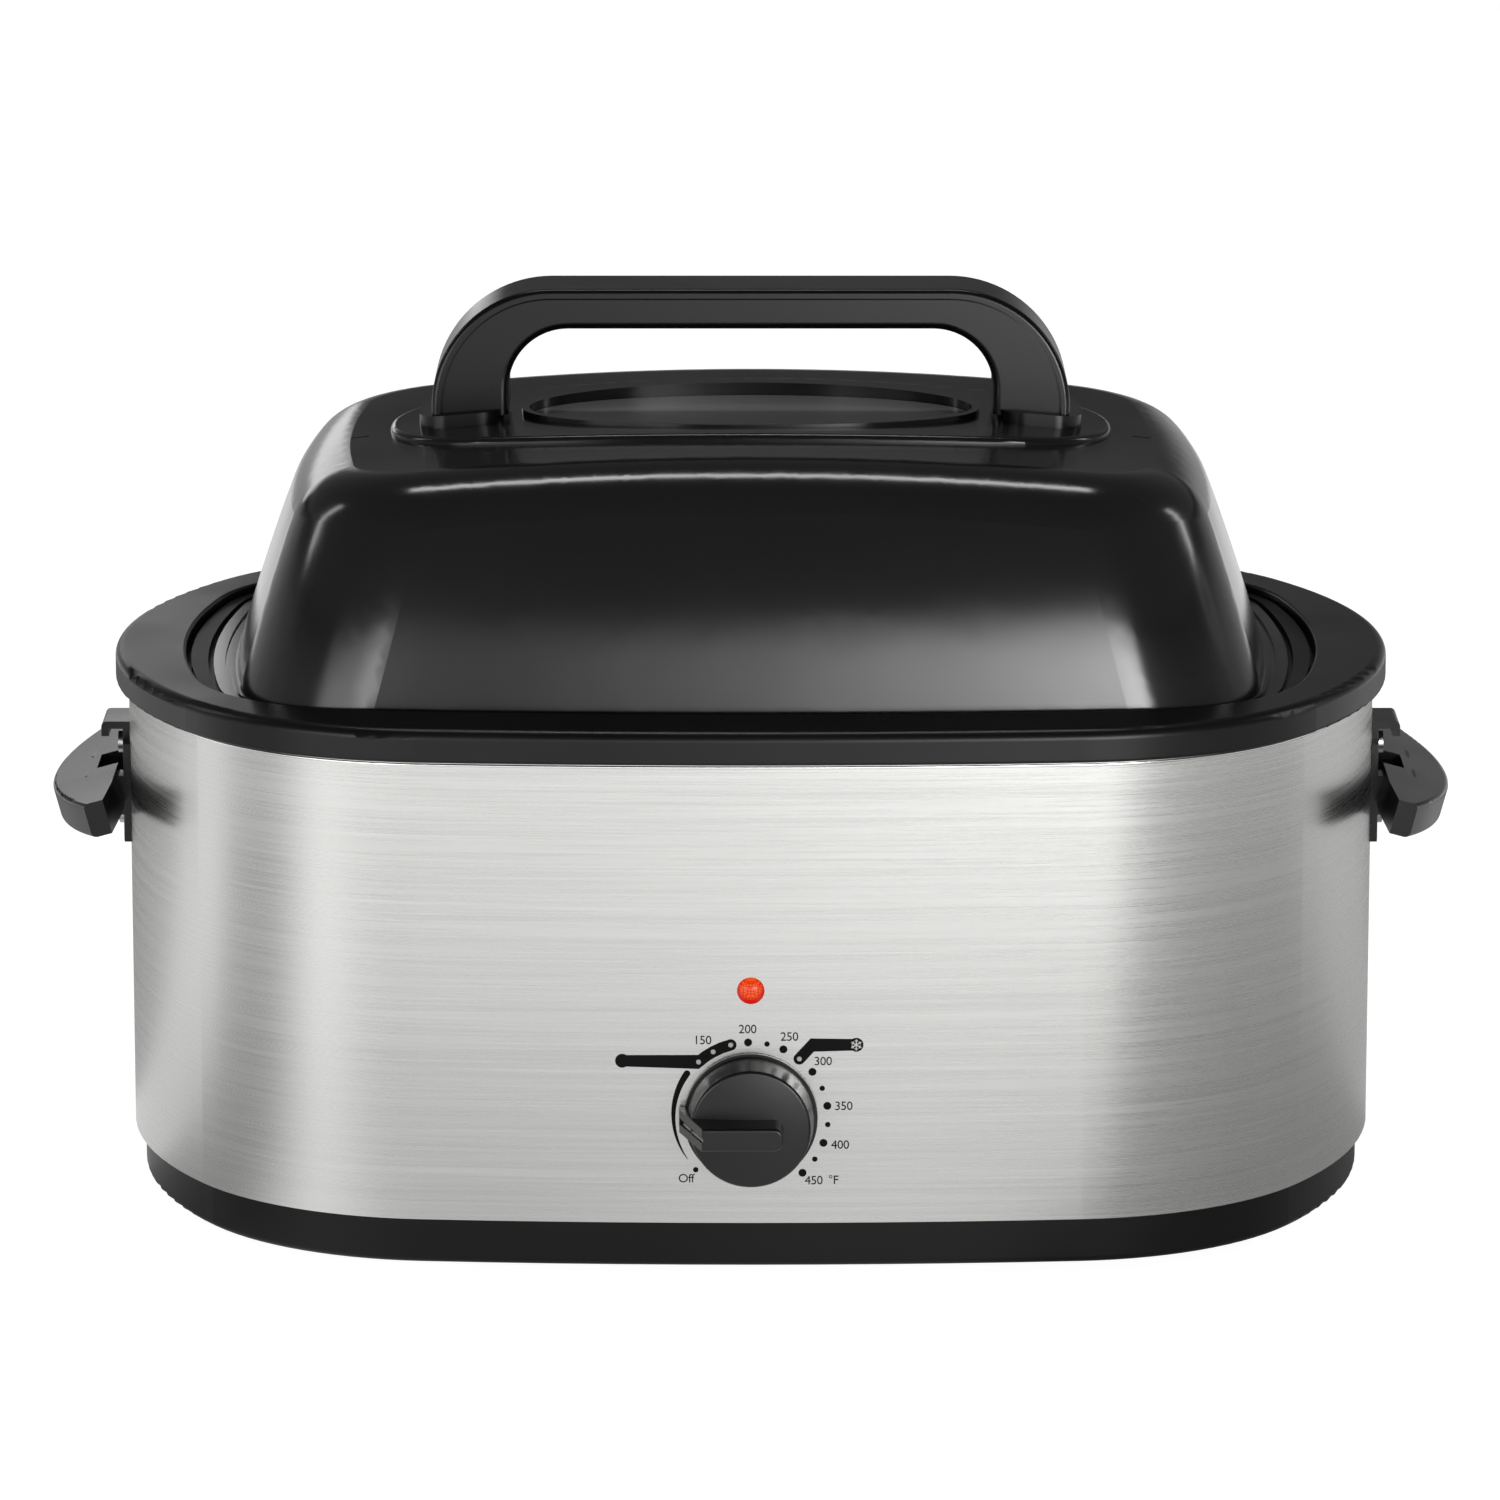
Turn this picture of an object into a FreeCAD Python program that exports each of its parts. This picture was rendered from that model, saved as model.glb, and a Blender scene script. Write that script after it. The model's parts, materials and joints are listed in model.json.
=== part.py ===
# Countertop electric roaster oven: an oval steel housing with a heated well, a lift-out
# cookwell and rack, a lift-off domed lid with a window, and a thermostat knob.
# Millimetres, +Z up. Every shape is drawn about the housing's middle, and is then moved along Y
# so that the origin is under the middle of the whole part's box, on the plane it stands on.
import FreeCAD, Part
import math
import os

V = FreeCAD.Vector
X_AXIS = V(1, 0, 0)
Y_AXIS = V(0, 1, 0)
Z_AXIS = V(0, 0, 1)

# An oval is half length, half depth, and the radii of its front, corner and end arcs.
body_oval = (250.0, 175.0, 1550.0, 115.0, 217.0)
recess_oval = (226.5, 146.0, 1420.0, 75.0, 356.0)
lid_oval = (206.0, 141.7, 1650.0, 60.0, 650.0)
well_oval = (207.0, 133.0, 1500.0, 58.0, 620.0)
platform_oval = (144.0, 64.0, 420.0, 48.0, 75.0)

# Heights of the stacked housing.
foot_height = 3.0
base_height = 18.7
wrap_visible_height = 182.4
rim_height = 13.1

# Base, feet and the posts between base and well.
base_inset = 4.2
base_wall = 2.5
foot_radius = 12.0
foot_peg_radius = 4.0
foot_peg_height = 6.0
foot_spot = (150.0, 112.0)
post_radius = 6.0
post_spot = (118.0, 70.0)
base_screw_radius = 2.0
base_screw_head_radius = 4.0
base_screw_head = 1.6
base_screw_length = 16.0

# Steel wrap.
wrap_wall = 0.8
wrap_flange = 7.0

# Rim ring, and the recess in it that the cookwell hangs in.
rim_overhang = 5.1
rim_skirt = 2.5
rim_plate = 4.0
rim_round = 4.0
rim_low_round = 1.2
recess_round = 1.2
recess_depth = 7.7
recess_wall = 3.0
ledge_thickness = 2.0

# Heated well, heater and insulation.
well_wall = 1.0
well_flange = 7.0
well_floor_height = 32.0
heater_thickness = 2.5
heater_low = 12.0
heater_height = 40.0
blanket_gap = 0.3
blanket_thickness = 9.0
blanket_low = 5.0
blanket_top_gap = 9.5

# Cookwell.
pan_clearance = 3.0
pan_wall = 1.2
pan_flange = 1.5
pan_floor_gap = 12.0
pan_taper = 8.0
pan_floor_round = 18.0
bead_height = 3.0

# Rack of bent wire.
rack_loop = 2.4
rack_loop_round = 1.5
rack_wire = 2.0
rack_inset = 14.0
rack_lift = 9.0
rack_seat_gap = 0.3
rack_rung_count = 9
rack_handle_height = 62.0
rack_handle_half_span = 34.0
rack_handle_reach = 150.0

# Lid. The shares say how far each outline lies from the lid's wall to the recess edge.
lid_wall = 1.2
# Height above the rim, and how far the ends and the long sides have drawn in there.
lid_sections = [
    (pan_flange - recess_depth, -1.0, -0.3),
    (38.0, 13.0, 6.5),
    (78.0, 28.0, 20.0),
    (112.0, 44.0, 40.0),
]
lid_rise = 94.5
lid_crown_radius = 1386.0
lid_round = 29.0
brim_share = 0.45
bead_inner_share = 0.56
bead_outer_share = 0.9
brim_thickness = 2.5
brim_groove_depth = 0.9
brim_groove_shares = (0.10, 0.22)
platform_rise = 2.7
platform_round = 2.0
vent_reach = 156.0
vent_offset = -8.0
vent_length = 7.0
vent_width = 1.4

# Window in the lid.
window_half_length = 88.5
window_half_depth = 46.0
window_ring_width = 3.0
window_flange = 1.5
window_ring_rise = 1.0
window_crown_radius = 2400.0
window_ledge = 3.5
window_ledge_thickness = 1.5
window_drop = 4.0
glass_thickness = 3.0
glass_clearance = 0.3

# Lid handle.
handle_reach = 127.0
handle_rise = 52.5
handle_bar = 16.4
handle_leg = 30.5
handle_outer_radius = 47.5
handle_inner_radius = 24.0
handle_half_width = 18.0
handle_cap = 3.5
handle_cap_proud = 1.5
handle_cap_round = 2.0
handle_seam = 1.0
handle_seam_depth = 2.0
handle_body_round = 3.0
handle_foot_inward = 29.0
handle_foot_outward = 5.0
handle_foot_half_depth = 22.0
handle_foot_rise = 5.0
handle_foot_corner = 11.0
handle_screw_radius = 2.0
handle_screw_head_radius = 4.5
handle_screw_head = 2.5
handle_screw_inset = 15.0
handle_screw_offset = 9.0
handle_screw_bite = 16.0

# Side handles: heights hang from the rim, and reaches are counted from the end of the body.
hook_drop = 19.1
hook_thickness = 3.0
hook_half_width = 13.0
hook_proud = 11.0
hook_curl = 6.0
hook_bend_share = 0.7
plate_thickness = 2.8
plate_half_width = 24.0
plate_drop = 7.0
plate_height = 40.0
grip_drop = 17.0
grip_thickness = 14.0
grip_proud = 32.5
grip_gap = 4.5
grip_arc_radius = 174.0
grip_half_span = 78.0
grip_end_width = 8.0
grip_end_slant = 30.0
grip_tilt = 15.0
grip_round = 2.0
notch_half_width = 12.5
notch_wall = 19.5
arm_width = 11.0
arm_drop = 19.0
arm_sink = 3.0
arm_bite = 4.0
side_screw_radius = 2.5
side_screw_head_radius = 4.5
side_screw_head = 2.2
side_screw_bite = 6.4
side_screw_low_inset = 7.0
side_screw_high_inset = 4.0

# Knob, thermostat and lamp on the front.
knob_height = 64.0
knob_skirt_radius = 25.8
knob_skirt = 1.8
knob_radius = 25.0
knob_face_radius = 22.8
knob_dome_radius = 130.0
knob_depth = 20.0
knob_round = 1.4
knob_gap = 0.6
knob_bar = (-27.6, 12.5)
knob_bar_height = 9.0
knob_bar_proud = 14.0
knob_bar_round = 1.2
knob_bar_end_round = 3.6
knob_pointer_groove = 1.2
knob_bar_ramp = 9.0
knob_bar_root = 1.0
knob_nose = 3.0
knob_face_wall = 3.0
knob_socket_radius = 8.0
knob_socket_depth = 3.0
shaft_radius = 3.0
shaft_clearance = 0.05
shaft_in_body = 12.0
bushing_radius = 4.5
bushing_hole_clearance = 0.3
bushing_reach = 1.0
thermostat_half_width = 20.0
thermostat_half_height = 18.0
thermostat_depth = 21.0
bracket_half_width = 28.0
bracket_half_height = 24.0
bracket_thickness = 1.5
bracket_gap = 0.3
lamp_height = 114.4
lamp_radius = 5.3
lamp_proud = 2.4
lamp_barrel_radius = 4.2
lamp_barrel_length = 12.0
lamp_hole_clearance = 0.2
lamp_nut_radius = 7.5
lamp_nut_length = 4.0

# Cord gland and terminal block at the rear.
gland_height = 46.0
gland_radius = 7.0
gland_flange_radius = 9.5
gland_flange = 3.0
gland_nozzle_radius = 6.2
gland_nozzle = 4.9
gland_bore_radius = 3.75
gland_throat_radius = 4.6
gland_throat_past = 0.5
terminal_size = (34.0, 16.0, 12.0)
terminal_spot = (60.0, 112.0)

# How far a cutter runs past what it cuts, and how near two places have to be to be the same.
cut_past = 1.0
same = 1e-3

# Heights and places that follow from the sizes above.
base_low = foot_height
base_high = base_low + base_height
rim_low = base_high + wrap_visible_height
rim_high = rim_low + rim_height
ledge_high = rim_high - recess_depth
ledge_low = ledge_high - ledge_thickness
pan_flange_high = ledge_high + pan_flange
brim_high = pan_flange_high + brim_thickness
lid_crown = rim_high + lid_rise - platform_rise
platform_crown = lid_crown + platform_rise
handle_high = platform_crown + handle_rise - platform_rise
handle_screw_spot = (handle_reach - handle_screw_inset, handle_screw_offset)
pan_floor = well_floor_height + well_wall + pan_floor_gap
hook_height = rim_low - hook_drop
plate_high = hook_height - plate_drop
plate_low = plate_high - plate_height
side_screw_heights = (plate_low + side_screw_low_inset, plate_high - side_screw_high_inset)
grip_height = hook_height - grip_drop
grip_reach = body_oval[0] + grip_proud
grip_inner_reach = body_oval[0] + grip_gap
notch_reach = grip_reach - notch_wall
hook_reach = body_oval[0] + hook_proud
front_face = -body_oval[1]
back_face = body_oval[1]
knob_back = front_face - knob_gap
knob_face = knob_back - knob_depth
knob_tip = knob_face - knob_bar_proud
rim_back = body_oval[1] + rim_overhang
to_origin = V(0, -(knob_tip + rim_back) / 2.0, 0)


def grown(oval, amount):
    """The same oval, larger all round by an amount."""
    return tuple(size + amount for size in oval)


def between(share):
    """An outline part of the way from the lid's wall to the edge of the recess."""
    return tuple(low + share * (high - low) for low, high in zip(lid_oval, recess_oval))


def oval_centres(oval):
    """Centres of the front, corner and end arcs of the quarter with positive X and Y."""
    half_length, half_depth, front, corner, end = oval
    front_centre = V(0, half_depth - front, 0)
    end_centre = V(half_length - end, 0, 0)
    reach_front = front - corner
    reach_end = end - corner
    apart = (end_centre - front_centre).Length
    along = (end_centre - front_centre) * (1.0 / apart)
    across = V(-along.y, along.x, 0)
    step = (reach_front ** 2 - reach_end ** 2 + apart ** 2) / (2 * apart)
    rise = math.sqrt(reach_front ** 2 - step ** 2)
    options = [front_centre + along * step + across * (side * rise) for side in (1, -1)]
    corner_centre = max(options, key=lambda point: point.x)
    return front_centre, corner_centre, end_centre


def oval_depth_at(oval, x):
    """Half depth of an oval at a place along its length."""
    line = Part.makeLine(V(x, 0, 0), V(x, 2 * oval[1], 0))
    return oval_wire(oval, 0).distToShape(line)[1][0][0].y


def oval_wire(oval, height):
    """Closed outline of an oval at a height: eight tangent arcs."""
    half_length, half_depth, front, corner, end = oval
    front_centre, corner_centre, end_centre = oval_centres(oval)
    to_front = (corner_centre - front_centre).normalize()
    to_end = (corner_centre - end_centre).normalize()
    first = corner_centre + to_front * corner
    last = corner_centre + to_end * corner
    middle = corner_centre + (to_front + to_end).normalize() * corner

    def at(point, side_x, side_y):
        return V(point.x * side_x, point.y * side_y, height)

    top = V(0, half_depth, height)
    tip = V(half_length, 0, height)
    arcs = [
        Part.Arc(at(first, -1, 1), top, at(first, 1, 1)),
        Part.Arc(at(first, 1, 1), at(middle, 1, 1), at(last, 1, 1)),
        Part.Arc(at(last, 1, 1), tip, at(last, 1, -1)),
        Part.Arc(at(last, 1, -1), at(middle, 1, -1), at(first, 1, -1)),
        Part.Arc(at(first, 1, -1), V(0, -half_depth, height), at(first, -1, -1)),
        Part.Arc(at(first, -1, -1), at(middle, -1, -1), at(last, -1, -1)),
        Part.Arc(at(last, -1, -1), V(-half_length, 0, height), at(last, -1, 1)),
        Part.Arc(at(last, -1, 1), at(middle, -1, 1), at(first, -1, 1)),
    ]
    return Part.Wire([arc.toShape() for arc in arcs])


def prism(oval, low, high):
    """Straight-sided solid on an oval."""
    return Part.Face(oval_wire(oval, low)).extrude(V(0, 0, high - low))


def taper(low_oval, low, high_oval, high):
    """Solid between two ovals at two heights."""
    return Part.makeLoft([oval_wire(low_oval, low), oval_wire(high_oval, high)], True, True)


def ring(outer, inner, low, high):
    """Straight-sided ring between two ovals."""
    return prism(outer, low, high).cut(prism(inner, low, high))


def ellipse_prism(half_length, half_depth, low, high):
    """Straight-sided solid on an ellipse."""
    curve = Part.Ellipse(V(0, 0, low), half_length, half_depth)
    return Part.Face(Part.Wire(curve.toShape())).extrude(V(0, 0, high - low))


def cylinder(radius, length, start, along):
    return Part.makeCylinder(radius, length, start, along)


def box(low, high):
    """Box between two corners."""
    size = high - low
    return Part.makeBox(size.x, size.y, size.z, low)


def under_crown(crown, radius, low):
    """Everything under a shallow arch that runs along X: its top is an arc of a radius."""
    reach = 1.05 * body_oval[0]
    side = crown - (radius - math.sqrt(radius ** 2 - reach ** 2))
    arch = Part.Arc(V(-reach, 0, side), V(0, 0, crown), V(reach, 0, side)).toShape()
    sides = Part.makePolygon([V(reach, 0, side), V(reach, 0, low), V(-reach, 0, low),
                              V(-reach, 0, side)])
    face = Part.Face(Part.Wire([arch] + sides.Edges))
    face.translate(V(0, -reach, 0))
    return face.extrude(V(0, 2 * reach, 0))


def edges_where(shape, test):
    """The shape's edges whose bounding box passes a test."""
    return [edge for edge in shape.Edges if test(edge.BoundBox)]


def level_edges(shape, height, least=1.0):
    """The edges that lie flat at a height and are at least so long."""
    return [edge for edge in shape.Edges
            if abs(edge.BoundBox.ZMin - height) < 1e-4
            and abs(edge.BoundBox.ZMax - height) < 1e-4 and edge.Length > least]


def corners(spot):
    """Four places, mirrored about both middle planes."""
    return [(side_x * spot[0], side_y * spot[1]) for side_x in (-1, 1) for side_y in (-1, 1)]


def fused(shapes):
    """One solid out of shapes that overlap."""
    result = shapes[0]
    for shape in shapes[1:]:
        result = result.fuse(shape)
    return result.removeSplitter()


def group(shapes):
    """Separate solids kept together in one node."""
    return Part.makeCompound(shapes)


def base_tray():
    """Black moulded tray: floor and a low wall, with holes for the feet and screws."""
    outer = grown(body_oval, -base_inset)
    tray = prism(outer, base_low, base_high)
    tray = tray.makeFillet(base_wall, level_edges(tray, base_low))
    tray = tray.cut(prism(grown(outer, -base_wall), base_low + base_wall, base_high))
    for x, y in corners(foot_spot):
        tray = tray.cut(cylinder(foot_peg_radius, base_wall, V(x, y, base_low), Z_AXIS))
    for x, y in corners(post_spot):
        tray = tray.cut(cylinder(base_screw_radius, base_wall, V(x, y, base_low), Z_AXIS))
    return tray


def rubber_feet():
    """Four rubber feet, each with a peg through the floor of the tray."""
    feet = []
    for x, y in corners(foot_spot):
        pad = cylinder(foot_radius, foot_height, V(x, y, 0), Z_AXIS)
        pad = pad.makeFillet(foot_height / 4.0, level_edges(pad, 0))
        peg = cylinder(foot_peg_radius, foot_peg_height, V(x, y, foot_height), Z_AXIS)
        feet.append(fused([pad, peg]))
    return group(feet)


def spacer_posts():
    """Four posts that carry the heated well on the tray's floor."""
    low = base_low + base_wall
    posts = []
    for x, y in corners(post_spot):
        post = cylinder(post_radius, well_floor_height - low, V(x, y, low), Z_AXIS)
        bite = base_screw_length - base_wall
        posts.append(post.cut(cylinder(base_screw_radius, bite, V(x, y, low), Z_AXIS)))
    return group(posts)


def base_screws():
    """Four screws up through the tray into the posts."""
    screws = []
    for x, y in corners(post_spot):
        shank = cylinder(base_screw_radius, base_screw_length, V(x, y, base_low), Z_AXIS)
        head_low = base_low - base_screw_head
        head = cylinder(base_screw_head_radius, base_screw_head, V(x, y, head_low), Z_AXIS)
        screws.append(fused([shank, head]))
    return group(screws)


def outer_wrap():
    """Brushed steel band round the housing, with a turned-in flange on the tray."""
    high = rim_high - rim_plate
    inner = grown(body_oval, -wrap_wall)
    band = ring(body_oval, inner, base_high, high)
    flange = ring(inner, grown(inner, -wrap_flange), base_high, base_high + wrap_wall)
    wrap = fused([band, flange])
    through = 4 * wrap_wall
    start = V(0, front_face - wrap_wall, 0)
    bushing_hole = bushing_radius + bushing_hole_clearance
    wrap = wrap.cut(cylinder(bushing_hole, through, start + V(0, 0, knob_height), Y_AXIS))
    lamp_hole = lamp_barrel_radius + lamp_hole_clearance
    wrap = wrap.cut(cylinder(lamp_hole, through, start + V(0, 0, lamp_height), Y_AXIS))
    rear = V(0, back_face - 2 * wrap_wall, gland_height)
    wrap = wrap.cut(cylinder(gland_radius, through, rear, Y_AXIS))
    for height in side_screw_heights:
        across = V(-body_oval[0] - wrap_wall, 0, height)
        length = 2 * (body_oval[0] + wrap_wall)
        wrap = wrap.cut(cylinder(side_screw_radius, length, across, X_AXIS))
    return wrap


def rim_ring():
    """Black rim: a skirt over the wrap, a flat top, and a recess with a ledge."""
    outer = grown(body_oval, rim_overhang)
    rim = prism(outer, rim_low, rim_high)
    rim = rim.makeFillet(rim_round, level_edges(rim, rim_high))
    rim = rim.makeFillet(rim_low_round, level_edges(rim, rim_low))
    rim = rim.cut(prism(recess_oval, ledge_high, rim_high))
    long_side, deep_side = recess_oval[0] + recess_wall, recess_oval[1] + recess_wall
    edge = [item for item in level_edges(rim, rim_high)
            if item.BoundBox.XMax < long_side and item.BoundBox.XMin > -long_side
            and item.BoundBox.YMax < deep_side and item.BoundBox.YMin > -deep_side]
    rim = rim.makeFillet(recess_round, edge)
    low = rim_low - cut_past
    rim = rim.cut(prism(well_oval, low, rim_high))
    recess_shell = grown(recess_oval, recess_wall)
    rim = rim.cut(ring(grown(outer, -rim_skirt), recess_shell, low, rim_high - rim_plate))
    return rim.cut(prism(recess_shell, low, ledge_low))


def heat_well():
    """Heated inner well: a deep tub whose flange hangs under the rim's ledge."""
    tub = prism(grown(well_oval, well_wall), well_floor_height, ledge_low)
    flange = prism(grown(well_oval, well_flange), ledge_low - well_wall, ledge_low)
    well = fused([tub, flange])
    return well.cut(prism(well_oval, well_floor_height + well_wall, ledge_low))


def heating_band():
    """Heater band clamped round the lower part of the well."""
    inner = grown(well_oval, well_wall)
    low = well_floor_height + heater_low
    return ring(grown(inner, heater_thickness), inner, low, low + heater_height)


def insulation_blanket():
    """Glass-fibre blanket round the heater and the well."""
    inner = grown(well_oval, well_wall + heater_thickness + blanket_gap)
    high = ledge_low - well_wall - blanket_top_gap
    return ring(grown(inner, blanket_thickness), inner, well_floor_height + blanket_low, high)


def cookwell():
    """Lift-out pan: tapered tub with a flat flange and a raised bead round it."""
    mouth = grown(well_oval, -pan_clearance)
    bottom = grown(mouth, -pan_taper)
    tub = taper(bottom, pan_floor, mouth, pan_flange_high)
    tub = tub.makeFillet(pan_floor_round, level_edges(tub, pan_floor))
    flange = prism(between(bead_outer_share), ledge_high, pan_flange_high)
    bead = ring(between(bead_outer_share), between(bead_inner_share), pan_flange_high,
                pan_flange_high + bead_height)
    inner_floor = pan_floor + pan_wall
    hollow = taper(grown(bottom, -pan_wall), inner_floor, grown(mouth, -pan_wall), pan_flange_high)
    hollow = hollow.makeFillet(pan_floor_round - pan_wall, level_edges(hollow, inner_floor))
    return fused([tub, flange, bead]).cut(hollow)


def rod(start, end, radius):
    """Straight round wire."""
    way = end - start
    return cylinder(radius, way.Length, start, way)


def rack_sizes():
    """Outline of the rack's loop, the height of its middle and the height of its rungs."""
    oval = grown(well_oval, -pan_clearance - pan_taper - pan_wall - rack_inset)
    level = pan_floor + pan_wall + rack_seat_gap + rack_lift + rack_loop
    return oval, level, level + rack_loop


def roasting_rack():
    """Flat wire rack: a loop, rungs across it and two rails along it, on short legs."""
    oval, level, rung_level = rack_sizes()
    loop = ring(grown(oval, rack_loop), grown(oval, -rack_loop), level - rack_loop, level + rack_loop)
    pieces = [loop.makeFillet(rack_loop_round, loop.Edges)]
    spacing = 2 * rack_handle_reach / (rack_rung_count - 1)
    for number in range(rack_rung_count):
        x = -rack_handle_reach + number * spacing
        reach = oval_depth_at(oval, x)
        pieces.append(rod(V(x, -reach, rung_level), V(x, reach, rung_level), rack_wire))
    for side in (-1, 1):
        rail = side * oval[1] / 2
        pieces.append(rod(V(-oval[0], rail, level), V(oval[0], rail, level), rack_wire))
        for span in (-rack_handle_half_span, rack_handle_half_span):
            seat = V(side * rack_handle_reach, 2 * span, pan_floor + pan_wall + rack_seat_gap)
            pieces.append(rod(seat, V(seat.x, seat.y, rung_level), rack_wire))
    return fused(pieces)


def rack_handles():
    """Raised wire handle at each end of the rack, welded on top of its end rung."""
    low = rack_sizes()[2] + rack_wire
    handles = []
    for side in (-1, 1):
        x = side * rack_handle_reach
        near = V(x, -rack_handle_half_span, low)
        far = V(x, rack_handle_half_span, low)
        up = V(0, 0, rack_handle_height)
        pieces = [rod(near, near + up, rack_wire), rod(far, far + up, rack_wire),
                  rod(near + up, far + up, rack_wire), Part.makeSphere(rack_wire, near + up),
                  Part.makeSphere(rack_wire, far + up)]
        handles.append(fused(pieces))
    return group(handles)


def lid_dome(inset):
    """Solid dome under the lid's skin; an inset gives the hollow inside it."""
    half_length, half_depth, front_arc, corner, end_arc = grown(lid_oval, -inset)
    sections = []
    for height, end, front in lid_sections:
        oval = (half_length - end, half_depth - front, front_arc, corner - front / 3, end_arc)
        sections.append(oval_wire(oval, rim_high + height))
    dome = Part.makeLoft(sections, True, False)
    dome = dome.common(under_crown(lid_crown - inset, lid_crown_radius, pan_flange_high))
    shoulder = edges_where(dome, lambda b: b.ZMin > lid_crown - 2 * lid_round
                           and b.ZMax < lid_crown + cut_past and b.ZMax - b.ZMin < lid_round)
    return dome.makeFillet(lid_round - inset, shoulder)


def platform():
    """Raised flat on the lid's crown that carries the window and the handle."""
    low = lid_crown - lid_wall - platform_oval[0] ** 2 / lid_crown_radius
    solid = prism(platform_oval, low, platform_crown + cut_past)
    solid = solid.common(under_crown(platform_crown, lid_crown_radius, low))
    edge = edges_where(solid, lambda b: b.ZMin > low + same)
    return solid.makeFillet(platform_round, edge)


def lid_shell():
    """Lid: domed skin with a brim, a raised platform, a window hole and two steam slits."""
    dome = lid_dome(0)
    brim = prism(between(brim_share), pan_flange_high, brim_high)
    groove_outer, groove_inner = brim_groove_shares[1], brim_groove_shares[0]
    groove = ring(between(groove_outer), between(groove_inner), brim_high - brim_groove_depth, brim_high)
    brim = brim.cut(groove)
    shell = fused([dome, brim, platform()])
    shell = shell.cut(lid_dome(lid_wall))
    neck_length = window_half_length + window_flange
    neck_depth = window_half_depth + window_flange
    shell = shell.cut(ellipse_prism(neck_length, neck_depth, rim_high, handle_high))
    for side in (-1, 1):
        middle = V(side * vent_reach, vent_offset, rim_high + lid_round)
        half = V(vent_length / 2, vent_width / 2, 0)
        slit = box(middle - half, middle + half + V(0, 0, lid_rise))
        shell = shell.cut(slit)
        for y in (-handle_screw_spot[1], handle_screw_spot[1]):
            start = V(side * handle_screw_spot[0], y, rim_high)
            shell = shell.cut(cylinder(handle_screw_radius, lid_rise, start, Z_AXIS))
    return shell


def window_frame():
    """Ring that holds the glass: a bead on the platform, a neck through it, and a ledge."""
    neck_length = window_half_length + window_flange
    neck_depth = window_half_depth + window_flange
    floor = platform_crown - window_drop - glass_thickness - window_ledge_thickness
    high = platform_crown + window_ring_rise
    bead = ellipse_prism(window_half_length + window_ring_width, window_half_depth + window_ring_width,
                         rim_high, high + cut_past)
    bead = bead.common(under_crown(high, window_crown_radius, rim_high))
    bead = bead.cut(under_crown(platform_crown, lid_crown_radius, rim_high - cut_past))
    neck = ellipse_prism(neck_length, neck_depth, floor, high + cut_past)
    neck = neck.common(under_crown(high, window_crown_radius, rim_high))
    frame = fused([bead, neck])
    seat = floor + window_ledge_thickness
    frame = frame.cut(ellipse_prism(window_half_length, window_half_depth, seat, high + cut_past))
    opening_length = window_half_length - window_ledge
    opening_depth = window_half_depth - window_ledge
    return frame.cut(ellipse_prism(opening_length, opening_depth, floor - cut_past, seat + cut_past))


def window_glass():
    """Oval pane of tinted glass, loose in the frame by a small clearance."""
    top = platform_crown - window_drop
    return ellipse_prism(window_half_length - glass_clearance, window_half_depth - glass_clearance,
                         top - glass_thickness, top)


def bridge_outline(reach, high, radius):
    """Outline of the top bridge: two legs and a bar, with round outer corners."""
    low = rim_high + lid_rise / 2
    bend = radius * math.sqrt(0.5)
    left = V(-reach + radius, 0, high - radius)
    right = V(reach - radius, 0, high - radius)
    points = [V(-reach, 0, low), V(-reach, 0, high - radius), V(-reach + radius, 0, high),
              V(reach - radius, 0, high), V(reach, 0, high - radius), V(reach, 0, low)]
    edges = [
        Part.makeLine(points[0], points[1]),
        Part.Arc(points[1], left + V(-bend, 0, bend), points[2]).toShape(),
        Part.makeLine(points[2], points[3]),
        Part.Arc(points[3], right + V(bend, 0, bend), points[4]).toShape(),
        Part.makeLine(points[4], points[5]),
        Part.makeLine(points[5], points[0]),
    ]
    return Part.Wire(edges)


def bridge(reach, high, radius, half_width):
    """Solid under the bridge's outline, as wide as the handle."""
    face = Part.Face(bridge_outline(reach, high, radius))
    face.translate(V(0, -half_width, 0))
    return face.extrude(V(0, 2 * half_width, 0))


def handle_feet(rise):
    """Rounded foot blocks of the lid handle, on the platform's crown."""
    inner = handle_reach - handle_foot_inward
    outer = handle_reach + handle_foot_outward
    low = rim_high + lid_rise / 2
    blocks = []
    for side in (-1, 1):
        near, far = sorted((side * inner, side * outer))
        block = box(V(near, -handle_foot_half_depth, low), V(far, handle_foot_half_depth, handle_high))
        upright = edges_where(block, lambda b: b.XMax - b.XMin < same and b.YMax - b.YMin < same)
        blocks.append(block.makeFillet(handle_foot_corner, upright))
    feet = group(blocks).common(under_crown(platform_crown + rise, lid_crown_radius, low))
    return feet.cut(under_crown(platform_crown, lid_crown_radius, low - cut_past))


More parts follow.
